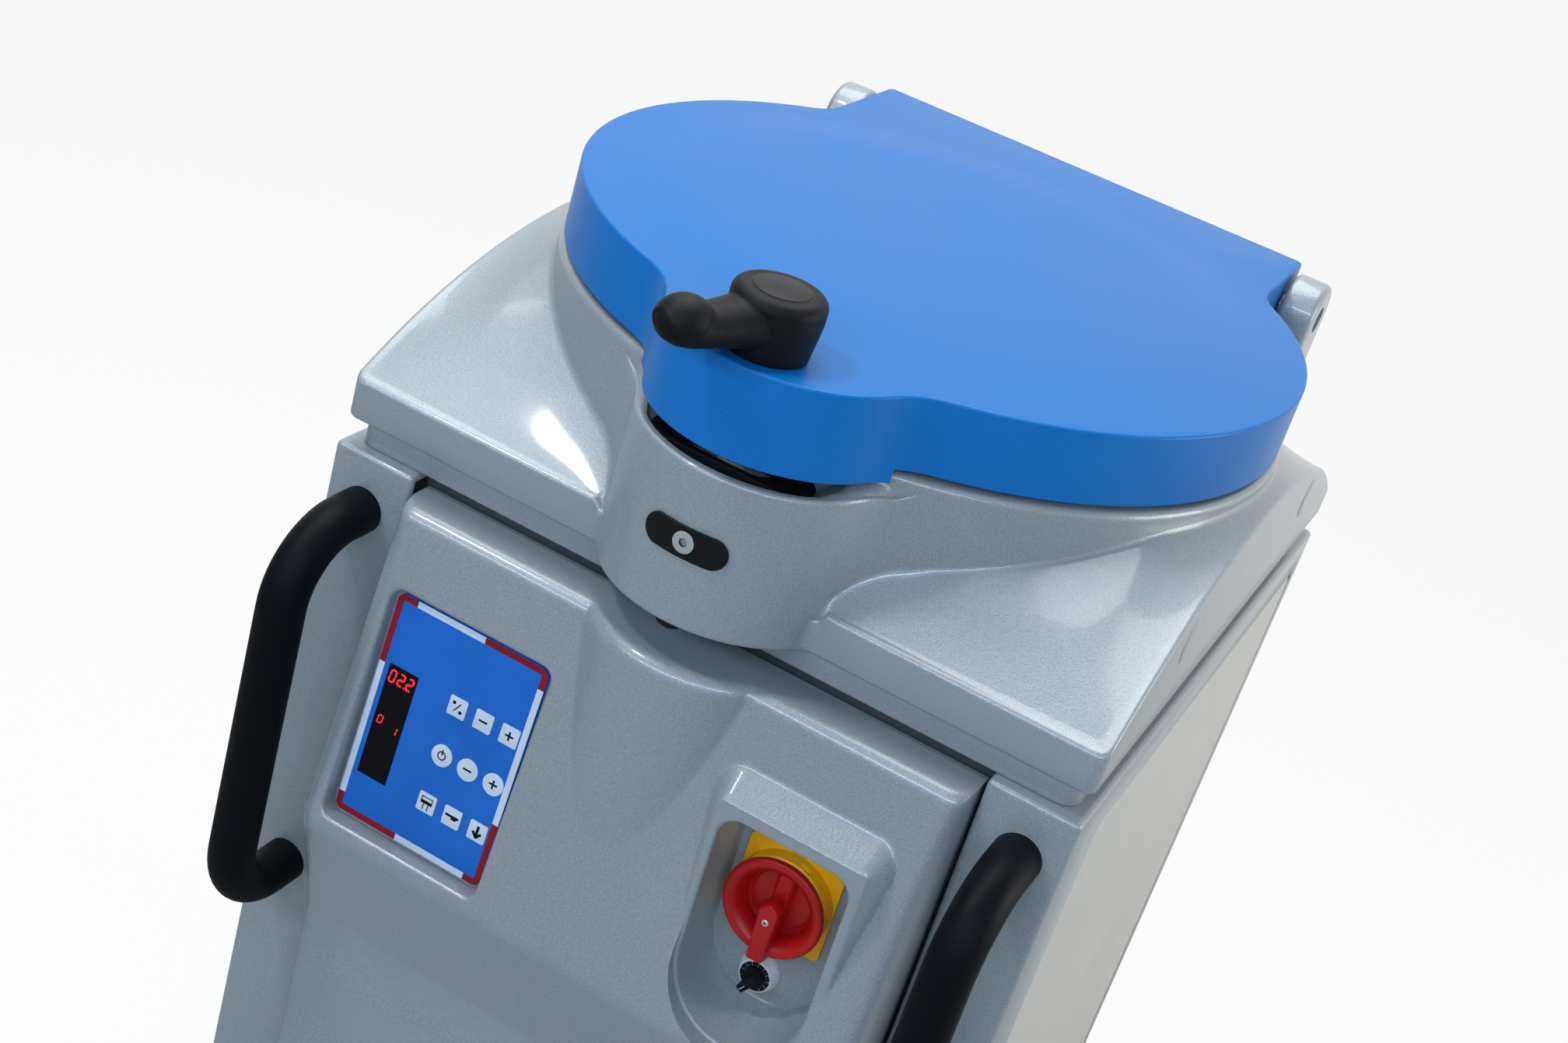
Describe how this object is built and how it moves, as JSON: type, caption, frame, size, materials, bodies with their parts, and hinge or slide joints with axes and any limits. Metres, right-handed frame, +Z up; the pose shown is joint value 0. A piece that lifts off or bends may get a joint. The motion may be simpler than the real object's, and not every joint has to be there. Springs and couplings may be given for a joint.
{
  "type": "dough divider",
  "caption": "Floor-standing hydraulic dough divider on castors: round pan under a hinged locking lid, rising press, knife grid, sloped console with keypad, main switch and dial.",
  "frame": {"origin": "on the floor, below the middle of the bounding box", "axes": "+Z up, -Y to the front where the operator stands, +X to the operator's right"},
  "size_m": [0.553, 0.6686, 1.087],
  "materials": {
    "frame_paint": "silver grey metallic paint, fine orange peel",
    "panel_paint": "pale grey paint",
    "cover_paint": "silver grey metallic paint on a casting",
    "lid_paint": "satin blue powder coat",
    "black_plastic": "matte black",
    "cap_plastic": "matte black cap",
    "black_tube": "black coat on tube",
    "black_steel": "black oxide",
    "bright_steel": "ground steel",
    "pan_steel": "brushed stainless",
    "plate_alloy": "machined alloy",
    "dark_steel": "dark grey coat",
    "rubber": "black rubber",
    "keypad_film": "blue printed film",
    "display_film": "black window",
    "key_film": "white keys",
    "switch_yellow": "yellow plastic",
    "switch_red": "red plastic",
    "bezel_silver": "bright bezel",
    "wheel_grey": "grey wheel",
    "zinc": "zinc plated"
  },
  "bodies": {
    "frame": {"left_side_frame": "frame_paint", "right_side_frame": "frame_paint", "left_hinge_block": "frame_paint", "right_hinge_block": "frame_paint", "left_side_panel": "panel_paint", "right_side_panel": "panel_paint", "back_panel": "panel_paint", "top_cover": "cover_paint", "front_cover": "cover_paint", "cover_plugs": "cover_paint", "cover_tray": "cover_paint", "cable_gland": "black_plastic", "left_handle": "black_tube", "right_handle": "black_tube", "striker_plate": "black_steel", "nose_plate": "black_steel", "cover_screws": "bright_steel", "hinge_bolts": "bright_steel", "dough_pan": "pan_steel", "chassis": "dark_steel", "pan_table": "dark_steel", "press_cylinder": "dark_steel", "cylinder_stand": "dark_steel", "oil_tank": "dark_steel", "pump_motor": "dark_steel", "control_box": "dark_steel", "nose_bumper": "rubber", "keypad_panel": "keypad_film", "display_window": "display_film", "switch_plate": "switch_yellow", "dial_bezel": "bezel_silver", "front_castor_plates": "zinc", "rear_castor_forks": "zinc"},
    "lid": {"lid": "lid_paint", "lid_plate": "plate_alloy"},
    "lock": {"lock_lever": "black_plastic", "lever_cap": "cap_plastic", "lock_spindle": "bright_steel"},
    "press": {"press_segments": "pan_steel", "press_carrier": "plate_alloy", "press_rod": "bright_steel", "knife_cylinders": "dark_steel"},
    "knives": {"knife_grid": "bright_steel"},
    "switch": {"switch_knob": "switch_red"},
    "dial": {"dial_knob": "black_plastic"},
    "front_left_fork": {"front_left_fork": "zinc"},
    "front_right_fork": {"front_right_fork": "zinc"},
    "front_left_wheel": {"front_left_wheel": "wheel_grey"},
    "front_right_wheel": {"front_right_wheel": "wheel_grey"},
    "rear_left_wheel": {"rear_left_wheel": "wheel_grey"},
    "rear_right_wheel": {"rear_right_wheel": "wheel_grey"},
    "key_1": {"key_1": "key_film"},
    "key_2": {"key_2": "key_film"},
    "key_3": {"key_3": "key_film"},
    "key_4": {"key_4": "key_film"},
    "key_5": {"key_5": "key_film"},
    "key_6": {"key_6": "key_film"},
    "key_7": {"key_7": "key_film"},
    "key_8": {"key_8": "key_film"},
    "key_9": {"key_9": "key_film"}
  },
  "joints": [
    {"name": "lid_hinge", "type": "hinge", "parent": "frame", "child": "lid", "pos_m": [0, 0.30631, 1.016], "axis": [-1, 0, 0], "range_deg": [0, 75]},
    {"name": "lock_turn", "type": "hinge", "parent": "lid", "child": "lock", "pos_m": [0, -0.25369, 1.05], "axis": [0, 0, 1], "range_deg": [0, 90]},
    {"name": "press_lift", "type": "slide", "parent": "frame", "child": "press", "axis": [0, 0, 1], "range_m": [0, 0.085]},
    {"name": "knife_lift", "type": "slide", "parent": "press", "child": "knives", "axis": [0, 0, 1], "range_m": [0, 0.04]},
    {"name": "switch_turn", "type": "hinge", "parent": "frame", "child": "switch", "pos_m": [0.1192, -0.24669, 0.703], "axis": [0, 1, 0], "range_deg": [0, 90]},
    {"name": "dial_turn", "type": "hinge", "parent": "frame", "child": "dial", "pos_m": [0.1192, -0.24669, 0.639], "axis": [0, 1, 0], "range_deg": [0, 290]},
    {"name": "front_left_swivel", "type": "hinge", "parent": "frame", "child": "front_left_fork", "pos_m": [-0.2145, -0.17569, 0.1], "axis": [0, 0, 1], "continuous": true},
    {"name": "front_right_swivel", "type": "hinge", "parent": "frame", "child": "front_right_fork", "pos_m": [0.2145, -0.17569, 0.1], "axis": [0, 0, 1], "continuous": true},
    {"name": "front_left_roll", "type": "hinge", "parent": "front_left_fork", "child": "front_left_wheel", "pos_m": [-0.2145, -0.14769, 0.04], "axis": [1, 0, 0], "continuous": true},
    {"name": "front_right_roll", "type": "hinge", "parent": "front_right_fork", "child": "front_right_wheel", "pos_m": [0.2145, -0.14769, 0.04], "axis": [1, 0, 0], "continuous": true},
    {"name": "rear_left_roll", "type": "hinge", "parent": "frame", "child": "rear_left_wheel", "pos_m": [-0.2145, 0.27631, 0.04], "axis": [1, 0, 0], "continuous": true},
    {"name": "rear_right_roll", "type": "hinge", "parent": "frame", "child": "rear_right_wheel", "pos_m": [0.2145, 0.27631, 0.04], "axis": [1, 0, 0], "continuous": true},
    {"name": "key_1_press", "type": "slide", "parent": "frame", "child": "key_1", "axis": [0, 0.9907, -0.1357], "range_m": [0, 0.0005], "stiffness_N_per_m": 1500},
    {"name": "key_2_press", "type": "slide", "parent": "frame", "child": "key_2", "axis": [0, 0.9907, -0.1357], "range_m": [0, 0.0005], "stiffness_N_per_m": 1500},
    {"name": "key_3_press", "type": "slide", "parent": "frame", "child": "key_3", "axis": [0, 0.9907, -0.1357], "range_m": [0, 0.0005], "stiffness_N_per_m": 1500},
    {"name": "key_4_press", "type": "slide", "parent": "frame", "child": "key_4", "axis": [0, 0.9907, -0.1357], "range_m": [0, 0.0005], "stiffness_N_per_m": 1500},
    {"name": "key_5_press", "type": "slide", "parent": "frame", "child": "key_5", "axis": [0, 0.9907, -0.1357], "range_m": [0, 0.0005], "stiffness_N_per_m": 1500},
    {"name": "key_6_press", "type": "slide", "parent": "frame", "child": "key_6", "axis": [0, 0.9907, -0.1357], "range_m": [0, 0.0005], "stiffness_N_per_m": 1500},
    {"name": "key_7_press", "type": "slide", "parent": "frame", "child": "key_7", "axis": [0, 0.9907, -0.1357], "range_m": [0, 0.0005], "stiffness_N_per_m": 1500},
    {"name": "key_8_press", "type": "slide", "parent": "frame", "child": "key_8", "axis": [0, 0.9907, -0.1357], "range_m": [0, 0.0005], "stiffness_N_per_m": 1500},
    {"name": "key_9_press", "type": "slide", "parent": "frame", "child": "key_9", "axis": [0, 0.9907, -0.1357], "range_m": [0, 0.0005], "stiffness_N_per_m": 1500}
  ]
}
